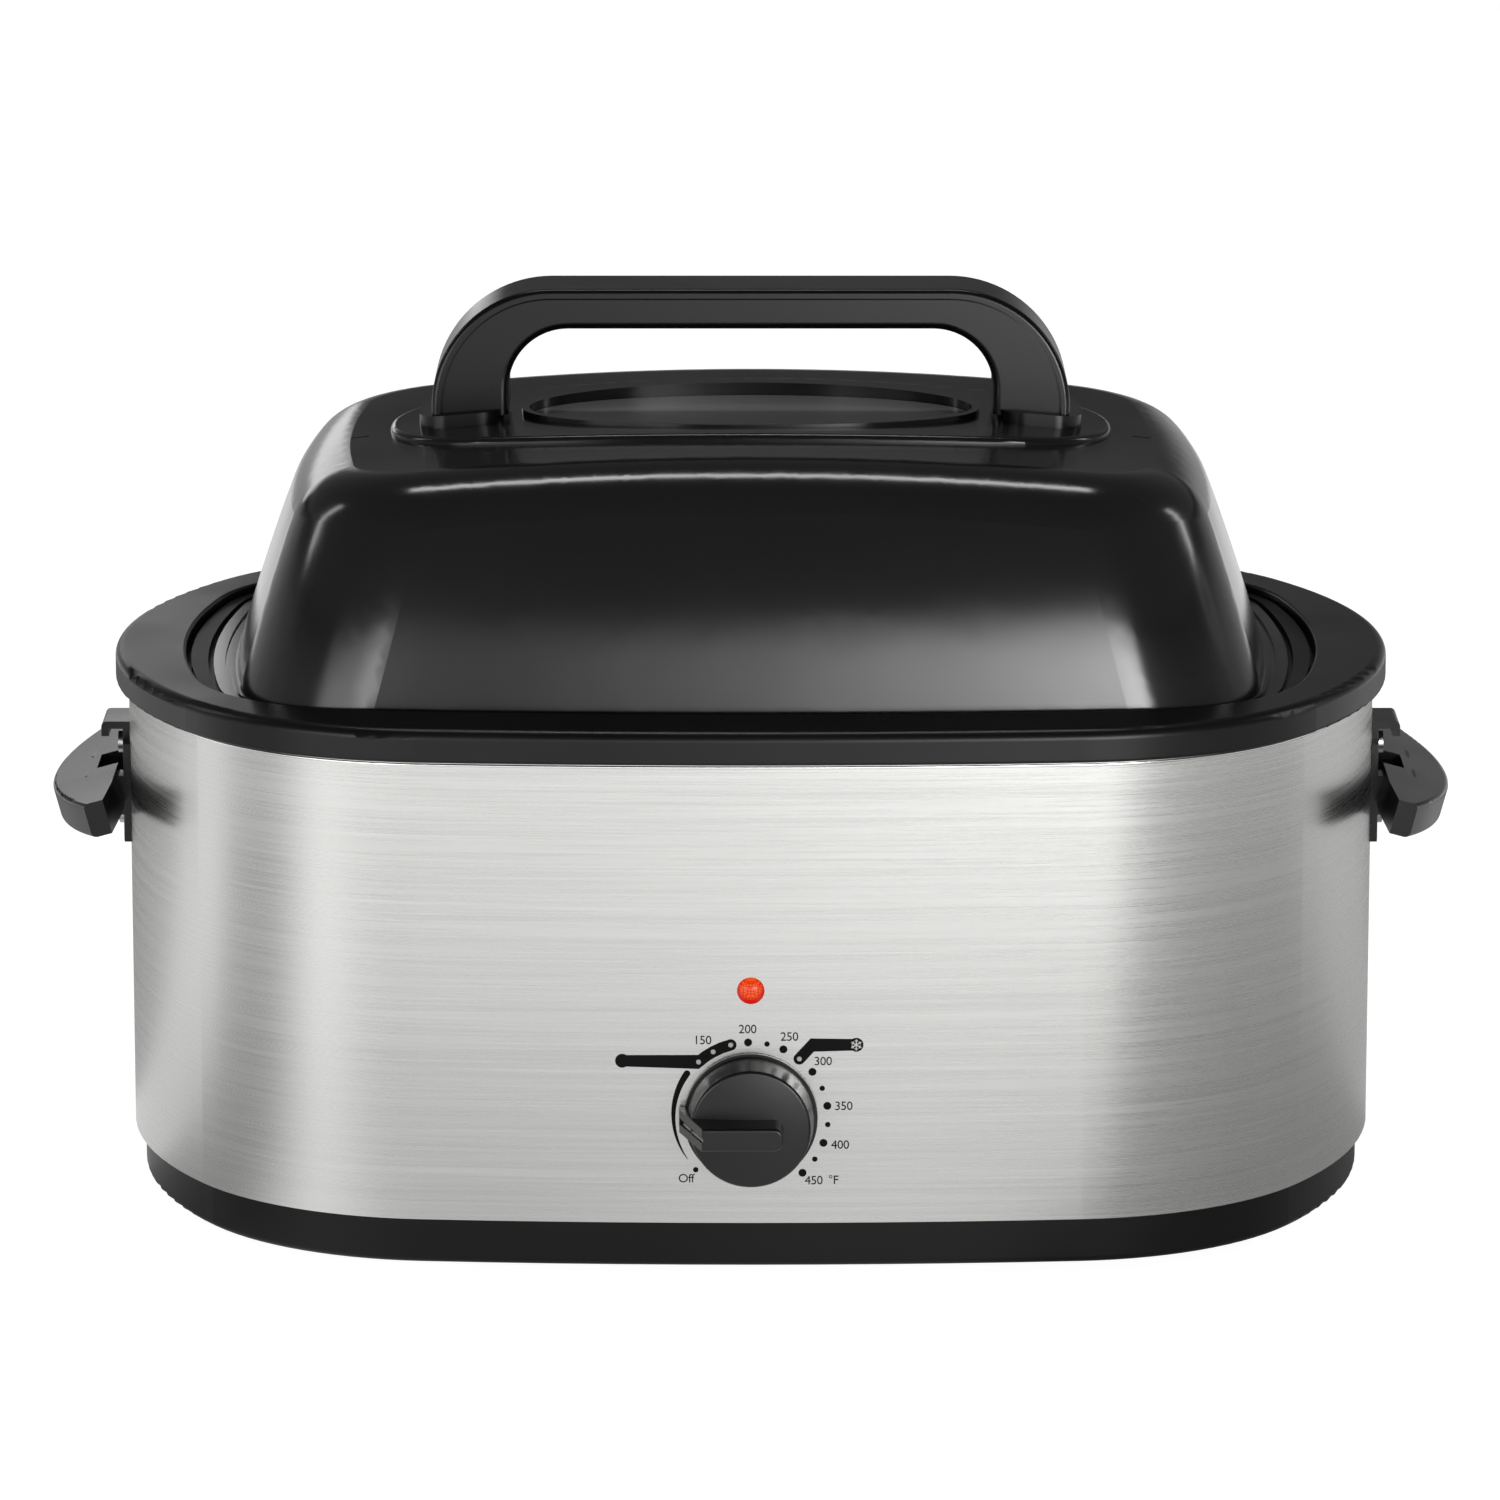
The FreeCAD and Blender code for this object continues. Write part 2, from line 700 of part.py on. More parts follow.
def lid_handle_body():
    """Inner half of the lid handle: bar, two legs and their feet, moulded as one."""
    width = handle_half_width - handle_cap_proud
    under_cap = handle_cap + handle_seam
    core = bridge(handle_reach - handle_cap, handle_high - handle_cap,
                  handle_outer_radius - handle_cap, width - handle_seam_depth)
    cheeks = bridge(handle_reach - under_cap, handle_high - under_cap,
                    handle_outer_radius - under_cap, width)
    body = fused([core, cheeks])
    gap_reach = handle_reach - handle_leg
    gap_high = handle_high - handle_bar
    body = body.cut(bridge(gap_reach, gap_high, handle_inner_radius, width + cut_past))
    gap_edges = edges_where(body, lambda b: b.YMax - b.YMin < same and b.ZMax < gap_high + same
                            and b.XMax < gap_reach + same and b.XMin > -gap_reach - same)
    body = body.makeFillet(handle_body_round, gap_edges)
    body = body.cut(under_crown(platform_crown + handle_foot_rise / 2, lid_crown_radius, 0))
    handle = fused([body] + handle_feet(handle_foot_rise).Solids)
    for side in (-1, 1):
        for y in (-handle_screw_spot[1], handle_screw_spot[1]):
            x = side * handle_screw_spot[0]
            start = V(x, y, rim_high)
            drop = platform_crown - x ** 2 / (2 * lid_crown_radius) - rim_high
            handle = handle.cut(cylinder(handle_screw_radius, drop + handle_screw_bite, start, Z_AXIS))
    return handle


def lid_handle_cap():
    """Outer half of the lid handle: a strap that wraps over the body from foot to foot."""
    strap = bridge(handle_reach, handle_high, handle_outer_radius, handle_half_width)
    low = rim_high + lid_rise / 2
    rims = edges_where(strap, lambda b: b.YMax - b.YMin < same and b.ZMax > low + same)
    strap = strap.makeFillet(handle_cap_round, rims)
    inside = bridge(handle_reach - handle_cap, handle_high - handle_cap,
                    handle_outer_radius - handle_cap, handle_half_width + cut_past)
    strap = strap.cut(inside)
    return strap.cut(under_crown(platform_crown + handle_foot_rise, lid_crown_radius, 0))


def lid_handle_screws():
    """Four screws from inside the lid up into the handle's legs."""
    screws = []
    for x, y in corners(handle_screw_spot):
        surface = platform_crown - x ** 2 / (2 * lid_crown_radius)
        slope = handle_screw_head_radius * abs(x) / lid_crown_radius
        low = surface - platform_rise - lid_wall - slope - handle_screw_head
        length = surface + handle_screw_bite - low
        shank = cylinder(handle_screw_radius, length, V(x, y, low), Z_AXIS)
        head = cylinder(handle_screw_head_radius, handle_screw_head, V(x, y, low), Z_AXIS)
        screws.append(fused([shank, head]))
    return group(screws)


def grip_crescent():
    """Left grip before its notch: a crescent, leaning down and outward."""
    centre = grip_reach - grip_arc_radius
    end = centre + math.sqrt(grip_arc_radius ** 2 - grip_half_span ** 2)
    inner_end = end - grip_end_width
    low = grip_height - grip_thickness
    inner_span = grip_half_span - grip_end_slant
    arc = Part.Arc(V(-end, -grip_half_span, low), V(-grip_reach, 0, low),
                   V(-end, grip_half_span, low)).toShape()
    lines = Part.makePolygon([V(-end, grip_half_span, low), V(-inner_end, grip_half_span, low),
                              V(-grip_inner_reach, inner_span, low),
                              V(-grip_inner_reach, -inner_span, low),
                              V(-inner_end, -grip_half_span, low), V(-end, -grip_half_span, low)])
    crescent = Part.Face(Part.Wire([arc] + lines.Edges)).extrude(V(0, 0, grip_thickness))
    rims = edges_where(crescent, lambda b: b.ZMax - b.ZMin < same and b.XMin < -end + same
                       and b.YMax - b.YMin > grip_half_span)
    crescent = crescent.makeFillet(grip_round, rims)
    crescent.rotate(V(-grip_inner_reach, 0, grip_height), Y_AXIS, -grip_tilt)
    return crescent


def handle_grip(side):
    """Side grip: crescent, a notch that parks the lid's edge, and two arms to the plate."""
    grip = grip_crescent()
    arms = []
    for near in (-notch_half_width - arm_width, notch_half_width):
        arm = box(V(-notch_reach - arm_bite, near, grip_height - arm_drop),
                  V(-body_oval[0], near + arm_width, grip_height - arm_sink))
        arms.append(arm)
    grip = fused([grip] + arms)
    notch = box(V(-notch_reach, -notch_half_width, plate_low),
                V(-body_oval[0], notch_half_width, hook_height))
    grip = grip.cut(notch).cut(prism(grown(body_oval, plate_thickness), plate_low, hook_height))
    return grip if side < 0 else grip.mirror(V(0, 0, 0), X_AXIS)


def handle_plate(side):
    """Plate against the end of the housing, with a hooked tab above the notch."""
    outer = grown(body_oval, plate_thickness)
    slab = ring(outer, body_oval, plate_low, hook_height)
    window = box(V(-grip_reach, -plate_half_width, plate_low), V(0, plate_half_width, plate_high))
    neck = box(V(-grip_reach, -hook_half_width, plate_low), V(0, hook_half_width, hook_height))
    plate = fused([slab.common(window), slab.common(neck)])
    low = hook_height - hook_thickness
    tab = box(V(-hook_reach, -hook_half_width, low),
              V(-body_oval[0] - plate_thickness / 2, hook_half_width, hook_height))
    curl = box(V(-hook_reach, -hook_half_width, hook_height - hook_curl),
               V(-hook_reach + hook_thickness, hook_half_width, hook_height))
    plate = fused([plate, tab, curl])
    bend = edges_where(plate, lambda b: abs(b.XMin + hook_reach) < same
                       and abs(b.XMax + hook_reach) < same and abs(b.ZMin - hook_height) < same)
    plate = plate.makeFillet(hook_thickness * hook_bend_share, bend)
    for height in side_screw_heights:
        start = V(-grip_reach, 0, height)
        plate = plate.cut(cylinder(side_screw_radius, grip_reach, start, X_AXIS))
    return plate if side < 0 else plate.mirror(V(0, 0, 0), X_AXIS)


def handle_screws():
    """Screws that hold the side plates to the wrap."""
    screws = []
    face = body_oval[0] + plate_thickness
    for side in (-1, 1):
        for height in side_screw_heights:
            start = V(side * face, 0, height)
            inward = V(-side, 0, 0)
            shank = cylinder(side_screw_radius, plate_thickness + side_screw_bite, start, inward)
            head = cylinder(side_screw_head_radius, side_screw_head, start, V(side, 0, 0))
            screws.append(fused([shank, head]))
    return group(screws)


def control_knob():
    """Round knob with a skirt, a low dome and a grip bar whose left end is the pointer."""
    axis = V(0, knob_back, knob_height)
    skirt = cylinder(knob_skirt_radius, knob_skirt, axis, V(0, -1, 0))
    barrel = Part.makeCone(knob_radius, knob_face_radius, knob_depth, axis, V(0, -1, 0))
    dome_centre = V(0, knob_face + knob_dome_radius, knob_height)
    barrel = barrel.common(Part.makeSphere(knob_dome_radius, dome_centre))
    rim = edges_where(barrel, lambda b: b.YMax - b.YMin < same
                      and b.YMax < knob_back - knob_depth / 2)
    barrel = barrel.makeFillet(knob_round, rim)
    left, right = knob_bar
    half = knob_bar_height / 2
    root = knob_back - knob_bar_root
    plan = Part.makePolygon([V(left, root, 0), V(left, knob_back - knob_skirt - knob_nose, 0),
                             V(left + knob_bar_ramp, knob_tip, 0), V(right, knob_tip, 0),
                             V(right, knob_face + 2 * knob_round, 0), V(right - knob_bar_ramp, root, 0),
                             V(left, root, 0)])
    plan.translate(V(0, 0, knob_height - half))
    bar = Part.Face(plan).extrude(V(0, 0, knob_bar_height))
    bar = bar.makeFillet(knob_bar_end_round, edges_where(bar, lambda b: b.XMin > right - same
                                                         and b.ZMax - b.ZMin < same))
    bar = bar.makeFillet(knob_bar_round, edges_where(bar, lambda b: b.YMax < knob_tip + same))
    nose = V(left, knob_back - knob_skirt - knob_nose, knob_height)
    groove = rod(nose, V(left + knob_bar_ramp, knob_tip, knob_height), knob_pointer_groove)
    knob = fused([skirt, barrel, bar.cut(groove)])
    knob = knob.cut(cylinder(knob_socket_radius, knob_socket_depth, axis, V(0, -1, 0)))
    return knob.cut(cylinder(shaft_radius, knob_depth - knob_face_wall, axis, V(0, -1, 0)))


def thermostat_shaft():
    """Shaft that the knob turns, running in the thermostat's bushing."""
    back = front_face + wrap_wall + bracket_gap + bracket_thickness + shaft_in_body
    start = V(0, back, knob_height)
    return cylinder(shaft_radius, back - (knob_face + knob_face_wall), start, V(0, -1, 0))


def thermostat_body():
    """Thermostat block behind the wrap, with a threaded bushing for the shaft."""
    face = front_face + wrap_wall + bracket_gap + bracket_thickness
    block = box(V(-thermostat_half_width, face, knob_height - thermostat_half_height),
                V(thermostat_half_width, face + thermostat_depth, knob_height + thermostat_half_height))
    tip = front_face - bushing_reach
    bushing = cylinder(bushing_radius, face - tip, V(0, tip, knob_height), Y_AXIS)
    bore = cylinder(shaft_radius + shaft_clearance, face - tip + shaft_in_body + cut_past,
                    V(0, tip, knob_height), Y_AXIS)
    return fused([block, bushing]).cut(bore)


def thermostat_bracket():
    """Steel plate that holds the thermostat behind the wrap."""
    low = front_face + wrap_wall + bracket_gap
    plate = box(V(-bracket_half_width, low, knob_height - bracket_half_height),
                V(bracket_half_width, low + bracket_thickness, knob_height + bracket_half_height))
    return plate.cut(cylinder(bushing_radius, bracket_thickness, V(0, low, knob_height), Y_AXIS))


def lamp_lens():
    """Red lamp lens: a low dome in front of the wrap and a barrel through it."""
    face = V(0, front_face, lamp_height)
    dome_radius = (lamp_radius ** 2 + lamp_proud ** 2) / (2 * lamp_proud)
    ball = Part.makeSphere(dome_radius, face + V(0, dome_radius - lamp_proud, 0))
    dome = ball.common(cylinder(lamp_radius, lamp_proud, face, V(0, -1, 0)))
    barrel = cylinder(lamp_barrel_radius, lamp_barrel_length, face, Y_AXIS)
    return fused([dome, barrel])


def lamp_holder():
    """Nut behind the wrap that holds the lamp."""
    start = V(0, front_face + wrap_wall + bracket_gap, lamp_height)
    nut = cylinder(lamp_nut_radius, lamp_nut_length, start, Y_AXIS)
    return nut.cut(cylinder(lamp_barrel_radius, lamp_nut_length, start, Y_AXIS))


def cord_gland():
    """Moulded gland at the rear, with the bore that the mains lead comes out of."""
    outer_face = V(0, back_face, gland_height)
    flange = cylinder(gland_flange_radius, gland_flange, outer_face, Y_AXIS)
    nozzle = cylinder(gland_nozzle_radius, gland_nozzle, outer_face, Y_AXIS)
    neck_length = wrap_wall + 2 * gland_flange
    neck_start = outer_face - V(0, neck_length, 0)
    neck = cylinder(gland_radius, neck_length, neck_start, Y_AXIS)
    gland = fused([flange, nozzle, neck])
    gland = gland.cut(cylinder(gland_throat_radius, neck_length + gland_throat_past, neck_start, Y_AXIS))
    return gland.cut(cylinder(gland_bore_radius, gland_nozzle, outer_face, Y_AXIS))


def terminal_block():
    """Screw terminals on the tray's floor, where the lead meets the inner wiring."""
    x, y = terminal_spot
    length, depth, height = terminal_size
    low = base_low + base_wall
    block = box(V(x - length / 2, y - depth / 2, low), V(x + length / 2, y + depth / 2, low + height))
    for number in range(3):
        spot = V(x + (number - 1) * length / 3, y, low + height / 2)
        block = block.cut(cylinder(depth / 6, height, spot, Z_AXIS))
    return block


nodes = {
    "base_tray": base_tray,
    "rubber_feet": rubber_feet,
    "spacer_posts": spacer_posts,
    "base_screws": base_screws,
    "outer_wrap": outer_wrap,
    "rim_ring": rim_ring,
    "heat_well": heat_well,
    "heating_band": heating_band,
    "insulation_blanket": insulation_blanket,
    "cookwell": cookwell,
    "roasting_rack": roasting_rack,
    "rack_handles": rack_handles,
    "lid_shell": lid_shell,
    "window_frame": window_frame,
    "window_glass": window_glass,
    "lid_handle_body": lid_handle_body,
    "lid_handle_cap": lid_handle_cap,
    "lid_handle_screws": lid_handle_screws,
    "left_handle_grip": lambda: handle_grip(-1),
    "right_handle_grip": lambda: handle_grip(1),
    "left_handle_plate": lambda: handle_plate(-1),
    "right_handle_plate": lambda: handle_plate(1),
    "handle_screws": handle_screws,
    "control_knob": control_knob,
    "thermostat_shaft": thermostat_shaft,
    "thermostat_body": thermostat_body,
    "thermostat_bracket": thermostat_bracket,
    "lamp_lens": lamp_lens,
    "lamp_holder": lamp_holder,
    "cord_gland": cord_gland,
    "terminal_block": terminal_block,
}


def main():
    os.makedirs("parts", exist_ok=True)
    for name, make in nodes.items():
        shape = make()
        shape.translate(to_origin)
        shape.exportStep("parts/" + name + ".step")
        box_now = shape.BoundBox
        print(name, len(shape.Solids), "solids, valid", shape.isValid(), "volume", round(shape.Volume),
              "x", round(box_now.XMin, 1), round(box_now.XMax, 1),
              "y", round(box_now.YMin, 1), round(box_now.YMax, 1),
              "z", round(box_now.ZMin, 1), round(box_now.ZMax, 1))


main()
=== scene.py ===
# %% [markdown]
# A countertop roaster oven, dressed for its picture. The imported model brings every rigid piece
# at its real size: this script never moves one. It gives each piece the finish that the real
# one has, adds the print round the knob and a few thin details, and then sets a plain studio.
# The first cell loads the frame.

# %% Load the frame
import json
import math
import bmesh
import bpy
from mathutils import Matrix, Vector
from mathutils.geometry import convex_hull_2d


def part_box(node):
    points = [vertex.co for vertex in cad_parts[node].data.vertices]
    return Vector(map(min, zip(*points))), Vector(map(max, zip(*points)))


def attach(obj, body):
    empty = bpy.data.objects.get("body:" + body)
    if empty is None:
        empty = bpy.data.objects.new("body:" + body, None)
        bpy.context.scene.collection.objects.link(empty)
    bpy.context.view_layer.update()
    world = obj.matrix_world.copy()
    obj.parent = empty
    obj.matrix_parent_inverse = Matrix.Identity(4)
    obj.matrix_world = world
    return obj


MM = 0.001
PER_METRE = 1000
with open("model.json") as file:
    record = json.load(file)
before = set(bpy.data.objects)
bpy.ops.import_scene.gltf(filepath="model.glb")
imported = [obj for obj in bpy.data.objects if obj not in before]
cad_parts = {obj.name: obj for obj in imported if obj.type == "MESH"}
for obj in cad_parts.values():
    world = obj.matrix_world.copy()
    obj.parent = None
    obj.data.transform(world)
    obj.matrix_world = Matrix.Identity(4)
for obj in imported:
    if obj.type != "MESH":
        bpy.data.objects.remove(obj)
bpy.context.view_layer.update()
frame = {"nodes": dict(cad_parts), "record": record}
nodes = frame["nodes"]
print("pieces in the frame:", len(nodes))

# %% [markdown]
# Places come from the frame. The steel wrap is the body of the oven, so its box gives the
# middle of the housing, and its front face carries the knob, the lamp and the print. The front
# bows out a little, and FRONT_ARC is the radius of that bow.

# %% Places read from the frame
wrap_low, wrap_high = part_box("outer_wrap")
BODY = (wrap_low + wrap_high) / 2
FRONT = wrap_low.y
shaft_low, shaft_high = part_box("thermostat_shaft")
KNOB = Vector(((shaft_low.x + shaft_high.x) / 2, FRONT, (shaft_low.z + shaft_high.z) / 2))
FRONT_ARC = 1550 * MM
print("knob axis at", [round(value / MM, 1) for value in KNOB])

# %% [markdown]
# Colours are written as sRGB hex, the way a picker shows them, and one function turns them
# to the linear values that a shader works with. A second small function adds a node to a
# material, sets its values and links it. Everything else in a material is built from it.

# %% Colour and node helpers
def linear(hex_colour):
    """sRGB hex to a linear RGBA tuple."""
    digits = hex_colour.lstrip("#")
    channels = [int(digits[at:at + 2], 16) / 255 for at in (0, 2, 4)]
    return tuple(c / 12.92 if c <= 0.04045 else ((c + 0.055) / 1.055) ** 2.4 for c in channels) + (1.0,)


def add(material, kind, settings=None, values=None, links=None):
    """Adds a node: settings are its properties, values its inputs, links its inputs' sources."""
    node = material.node_tree.nodes.new(kind)
    for name, value in (settings or {}).items():
        setattr(node, name, value)
    for name, value in (values or {}).items():
        node.inputs[name].default_value = value
    for name, source in (links or {}).items():
        material.node_tree.links.new(source, node.inputs[name])
    return node


def blank(name, values):
    """A material with one Principled surface, its fixed values set on the shader itself."""
    material = bpy.data.materials.new(name)
    material.use_nodes = True
    shader = material.node_tree.nodes["Principled BSDF"]
    for socket, value in values.items():
        shader.inputs[socket].default_value = value
    return material, shader


def link(material, source, target):
    """Joins one node's output to another's input."""
    material.node_tree.links.new(source, target)


def ramp(node, stops):
    """Sets a colour ramp's stops: place and grey level."""
    elements = node.color_ramp.elements
    while len(elements) < len(stops):
        elements.new(0.5)
    for element, (place, grey) in zip(elements, stops):
        element.position = place
        element.color = (grey, grey, grey, 1.0)


# %% [markdown]
# The wrap is stainless steel, brushed by belts that run along the band. The scratches are
# about a tenth of a millimetre apart, which no picture of a whole oven can show, so they are
# drawn about five times as coarse. The noise is squeezed in height and stretched along the
# band, and it moves the polish more than the colour: that is all that brushing is.

# %% Brushed stainless steel
def brushed_stainless():
    """Stainless steel sheet from the belt: a metal whose highlights are drawn out into bands."""
    material, shader = blank("brushed_stainless_steel", {
        "Base Color": linear("#C8C8C6"), "Metallic": 1.0, "Roughness": 0.3, "Anisotropic": 0.4})
    place = add(material, "ShaderNodeTexCoord")
    scratch_pitch = 0.55
    scratch_length = 90.0
    scratches = add(material, "ShaderNodeMapping", values={
        "Scale": (PER_METRE / scratch_length, PER_METRE / scratch_length, PER_METRE / scratch_pitch)},
        links={"Vector": place.outputs["Object"]})
    fine = add(material, "ShaderNodeTexNoise", values={"Scale": 1.0, "Detail": 3.0, "Roughness": 0.65},
               links={"Vector": scratches.outputs["Vector"]})
    belt_pitch = 2.6
    belt_length = 320.0
    belts = add(material, "ShaderNodeMapping", values={
        "Scale": (PER_METRE / belt_length, PER_METRE / belt_length, PER_METRE / belt_pitch)},
        links={"Vector": place.outputs["Object"]})
    wide = add(material, "ShaderNodeTexNoise", values={"Scale": 1.0, "Detail": 1.0},
               links={"Vector": belts.outputs["Vector"]})
    both = add(material, "ShaderNodeMix", {"data_type": "FLOAT"}, {"Factor": 0.3},
               {"A": fine.outputs["Fac"], "B": wide.outputs["Fac"]})
    rough = add(material, "ShaderNodeMapRange", values={"From Min": 0.3, "From Max": 0.7,
                "To Min": 0.23, "To Max": 0.33}, links={"Value": both.outputs["Result"]})
    tint = add(material, "ShaderNodeMix", {"data_type": "RGBA"},
               {"A": linear("#BCBCBA"), "B": linear("#D4D4D2")}, {"Factor": both.outputs["Result"]})
    bump = add(material, "ShaderNodeBump", values={"Strength": 0.05, "Distance": 0.0001},
               links={"Height": fine.outputs["Fac"]})
    link(material, rough.outputs["Result"], shader.inputs["Roughness"])
    link(material, tint.outputs["Result"], shader.inputs["Base Color"])
    link(material, bump.outputs["Normal"], shader.inputs["Normal"])
    return material


# %% [markdown]
# Most of the rest is black, but not one black. The lid is steel under a smooth baked enamel,
# the handles and the rim are moulded with a satin skin, and the feet are dull rubber. Each
# gets a fine grain of a real size, and a gloss that wanders over some 70 mm, as skins from a
# mould or a spray gun do, so that no highlight is perfectly even.

# %% Black finishes
def moulded(name, colour, roughness, grain_mm, depth_mm, spread=0.04, shine=0.36):
    """A moulded or coated skin: a colour, a gloss that varies a little, and a fine grain."""
    material, shader = blank(name, {
        "Base Color": linear(colour), "Roughness": roughness, "Specular IOR Level": shine})
    place = add(material, "ShaderNodeTexCoord")
    grain = add(material, "ShaderNodeTexNoise", values={"Scale": PER_METRE / grain_mm, "Detail": 2.0},
                links={"Vector": place.outputs["Object"]})
    cloud_mm = 71.43
    cloud = add(material, "ShaderNodeTexNoise", values={"Scale": PER_METRE / cloud_mm, "Detail": 3.0},
                links={"Vector": place.outputs["Object"]})
    gloss = add(material, "ShaderNodeMapRange", values={"From Min": 0.3, "From Max": 0.7,
                "To Min": roughness - spread, "To Max": roughness + spread},
                links={"Value": cloud.outputs["Fac"]})
    bump = add(material, "ShaderNodeBump", values={"Strength": 0.25, "Distance": depth_mm * MM},
               links={"Height": grain.outputs["Fac"]})
    link(material, gloss.outputs["Result"], shader.inputs["Roughness"])
    link(material, bump.outputs["Normal"], shader.inputs["Normal"])
    return material


def metal(name, colour, roughness, grain_mm):
    """Plain or plated metal with a soft variation in its polish."""
    material, shader = blank(name, {"Base Color": linear(colour), "Metallic": 1.0,
                                    "Roughness": roughness})
    place = add(material, "ShaderNodeTexCoord")
    cloud = add(material, "ShaderNodeTexNoise", values={"Scale": PER_METRE / grain_mm, "Detail": 4.0},
                links={"Vector": place.outputs["Object"]})
    polish = add(material, "ShaderNodeMapRange", values={"To Min": roughness * 0.8,
                 "To Max": roughness * 1.25}, links={"Value": cloud.outputs["Fac"]})
    link(material, polish.outputs["Result"], shader.inputs["Roughness"])
    return material


def tinted_glass():
    """Toughened glass, dark grey, in the lid's window."""
    material, shader = blank("tinted_toughened_glass", {
        "Base Color": linear("#7A7A7A"), "Roughness": 0.22, "IOR": 1.5, "Specular IOR Level": 0.6})
    place = add(material, "ShaderNodeTexCoord")
    mist_mm = 25.0
    mist = add(material, "ShaderNodeTexNoise", values={"Scale": PER_METRE / mist_mm, "Detail": 4.0},
               links={"Vector": place.outputs["Object"]})
    rough = add(material, "ShaderNodeMapRange", values={"To Min": 0.18, "To Max": 0.28},
                links={"Value": mist.outputs["Fac"]})
    link(material, rough.outputs["Result"], shader.inputs["Roughness"])
    return material


def lit_lens():
    """Red lamp lens, moulded with crossed prisms and lit from behind."""
    material, shader = blank("red_polycarbonate_lens", {
        "Base Color": linear("#3A0602"), "Roughness": 0.28, "IOR": 1.58,
        "Specular IOR Level": 0.25, "Emission Strength": 0.9})
    place = add(material, "ShaderNodeTexCoord")
    prism_mm = 0.8
    turned = add(material, "ShaderNodeMapping", values={
        "Rotation": (0, math.radians(45), 0), "Scale": (PER_METRE / prism_mm,) * 3},
        links={"Vector": place.outputs["Object"]})
    checks = add(material, "ShaderNodeTexChecker", values={"Scale": 1.0,
                 "Color1": linear("#FA661E"), "Color2": linear("#E62008")},
                 links={"Vector": turned.outputs["Vector"]})
    away = add(material, "ShaderNodeLayerWeight", values={"Blend": 0.5})
    edge = add(material, "ShaderNodeMapRange", values={"From Min": 0.12, "From Max": 0.3},
               links={"Value": away.outputs["Facing"]})
    colour = add(material, "ShaderNodeMix", {"data_type": "RGBA"}, {"B": linear("#D01806")},
                 {"Factor": edge.outputs["Result"], "A": checks.outputs["Color"]})
    link(material, colour.outputs["Result"], shader.inputs["Emission Color"])
    return material


# %% [markdown]
# Every node of the frame names the material slot that the real piece is made of, so the
# finishes are given out by slot. A piece's first slot takes the finish and the rest go.

# %% Give the frame its finishes
finishes = {
    # Stainless steel sheet, brushed: bright bands with fine level streaks.
    "brushed_wrap": brushed_stainless(),
    # Phenolic resin, moulded in a satin tool: wide, soft highlights on black.
    "rim_black": moulded("satin_phenolic_rim", "#111113", 0.32, 0.9, 0.006, shine=0.27),
    # Polypropylene, moulded: a duller and deeper black than the rim.
    "base_plastic": moulded("satin_polypropylene_base", "#0B0B0C", 0.4, 0.8, 0.01, shine=0.2),
    # Silicone rubber: nearly no gloss.
    "feet_rubber": moulded("silicone_rubber", "#101010", 0.7, 0.6, 0.04),
    # Steel with a baked enamel coat: a smooth, clear gloss that draws each light sharply.
    "lid_black": moulded("baked_black_enamel", "#252526", 0.16, 2.5, 0.004, spread=0.015, shine=0.5),
    # Vitreous enamel fired on steel: a soft sheen. Its speckles, under a millimetre, are left out.
    "pan_enamel": moulded("speckled_vitreous_enamel", "#141416", 0.42, 1.2, 0.01, shine=0.22),
    # Phenolic resin again, from a smoother tool: narrower highlights along the edges.
    "handle_black": moulded("semi_gloss_phenolic", "#0D0D0E", 0.24, 0.9, 0.006, shine=0.32),
    "knob_black": moulded("gloss_phenolic_knob", "#101011", 0.3, 1.5, 0.006, shine=0.42),
    # Nylon, pale phenolic resin and needled glass fibre: dull, inside and at the rear.
    "gland_plastic": moulded("nylon_gland", "#161616", 0.5, 0.7, 0.02),
    "thermostat_resin": moulded("cream_phenolic", "#B9AF93", 0.5, 0.7, 0.02),
    "glass_fibre": moulded("needled_glass_fibre", "#D9D3BF", 0.95, 2.0, 0.4),
    # Aluminised, zinc-plated and heat-darkened steel, and bright chrome on the wire rack.
    "inner_steel": metal("aluminised_steel", "#B4B4B0", 0.38, 6.0),
    "screw_steel": metal("zinc_plated_steel", "#B8BABC", 0.3, 2.0),
    "heater_metal": metal("heat_darkened_steel", "#7A746A", 0.45, 5.0),
    "rack_chrome": metal("chrome_plated_wire", "#D5D6D8", 0.12, 8.0),
    # Toughened glass, tinted, and the lit polycarbonate lens of the lamp.
    "tinted_glass": tinted_glass(),
    "lamp_red": lit_lens(),
}
for part in frame["record"]["subparts"]:
    mesh = nodes[part["node"]].data
    mesh.materials.clear()
    mesh.materials.append(finishes[part["material_slot"]])
print("finishes:", len(finishes))

# %% [markdown]
# Under the rim the steel ends in a narrow rolled edge. It is drawn as a thin round bead, a curve
# with a bevel, on the wrap's own outline. Its steel is whiter and smoother than the wrap's: a
# painted highlight, so that the bead shows as one bright line all round the housing. The outline
# is the hull of the points on top of the wrap's mesh, so it has the mesh's own corners. The bead
# hangs low enough to show past the overhang of the rim.

# %% Rolled edge under the rim, with a painted highlight
SAME_HEIGHT = 0.01 * MM


def outline_at_top(node):
    """The outer edge of a node's top, in order round the middle of the housing."""
    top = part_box(node)[1].z
    spots = [Vector((vertex.co.x - BODY.x, vertex.co.y - BODY.y))
             for vertex in nodes[node].data.vertices if abs(vertex.co.z - top) < SAME_HEIGHT]
    return [spots[at] for at in convex_hull_2d(spots)]


